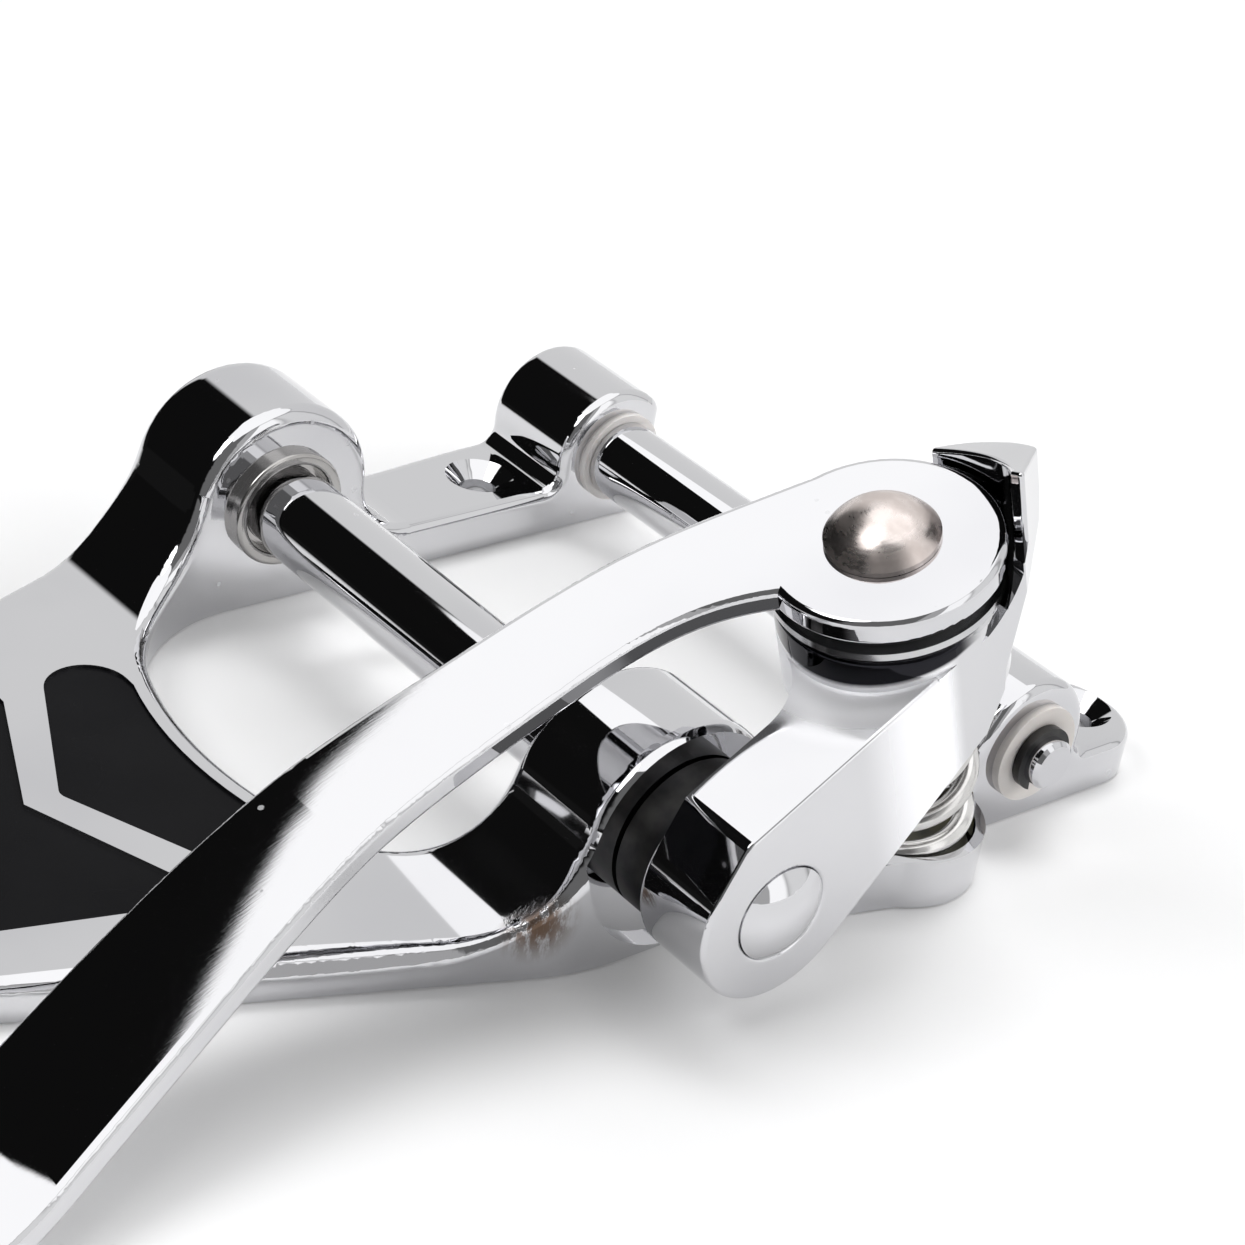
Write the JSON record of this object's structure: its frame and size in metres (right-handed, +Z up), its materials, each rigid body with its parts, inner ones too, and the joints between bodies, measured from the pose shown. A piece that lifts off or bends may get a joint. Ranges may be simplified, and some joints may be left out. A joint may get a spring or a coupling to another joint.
{
  "type": "guitar tremolo bridge",
  "caption": "Chromed vibrato tailpiece: horseshoe frame, string shaft in bearings, spring-loaded rocker with a swivelling arm, and a front roller that presses the strings down.",
  "frame": {"origin": "midway between the two front screw holes, on the underside of the frame", "axes": "+Z up from the guitar's top, +Y towards the neck, +X towards the treble side and the arm"},
  "size_m": [0.0992, 0.1609, 0.0504],
  "materials": {
    "chrome": "polished",
    "nickel": "polished",
    "steel": "satin",
    "spring_steel": "satin",
    "black_enamel": "gloss",
    "white_nylon": "matte",
    "black_nylon": "matte",
    "black_steel": "satin",
    "pad": "matte"
  },
  "bodies": {
    "frame": {"base_frame": "chrome", "front_panel": "black_enamel", "tail_panel": "black_enamel", "bass_bearing": "steel", "treble_bearing": "steel", "bass_inner_bushing": "white_nylon", "bass_outer_bushing": "white_nylon", "treble_inner_bushing": "white_nylon", "treble_outer_bushing": "white_nylon", "spring_pad": "pad", "main_spring": "spring_steel"},
    "rocker": {"main_shaft": "chrome", "string_pins": "steel", "shaft_spacer": "steel", "arm_bracket": "chrome", "pivot_bolt": "nickel", "pivot_nut": "steel", "friction_washer": "black_nylon", "flat_washer": "steel", "spring_washer": "steel"},
    "handle": {"arm": "chrome"},
    "roller": {"tension_bar": "chrome", "bass_clip": "black_steel", "treble_clip": "black_steel"}
  },
  "joints": [
    {"name": "rocker_pitch", "type": "hinge", "parent": "frame", "child": "rocker", "pos_m": [0, -0.046, 0.0115], "axis": [1, 0, 0], "range_deg": [-16, 1], "stiffness_Nm_per_rad": 7, "deforming": ["main_spring"]},
    {"name": "arm_swivel", "type": "hinge", "parent": "rocker", "child": "handle", "pos_m": [0.0427, -0.0318, 0.041], "axis": [0, -0.3584, 0.9336], "range_deg": [-64, 132]},
    {"name": "roller_spin", "type": "hinge", "parent": "frame", "child": "roller", "pos_m": [0, -0.0004, 0.008], "axis": [1, 0, 0], "continuous": true}
  ]
}
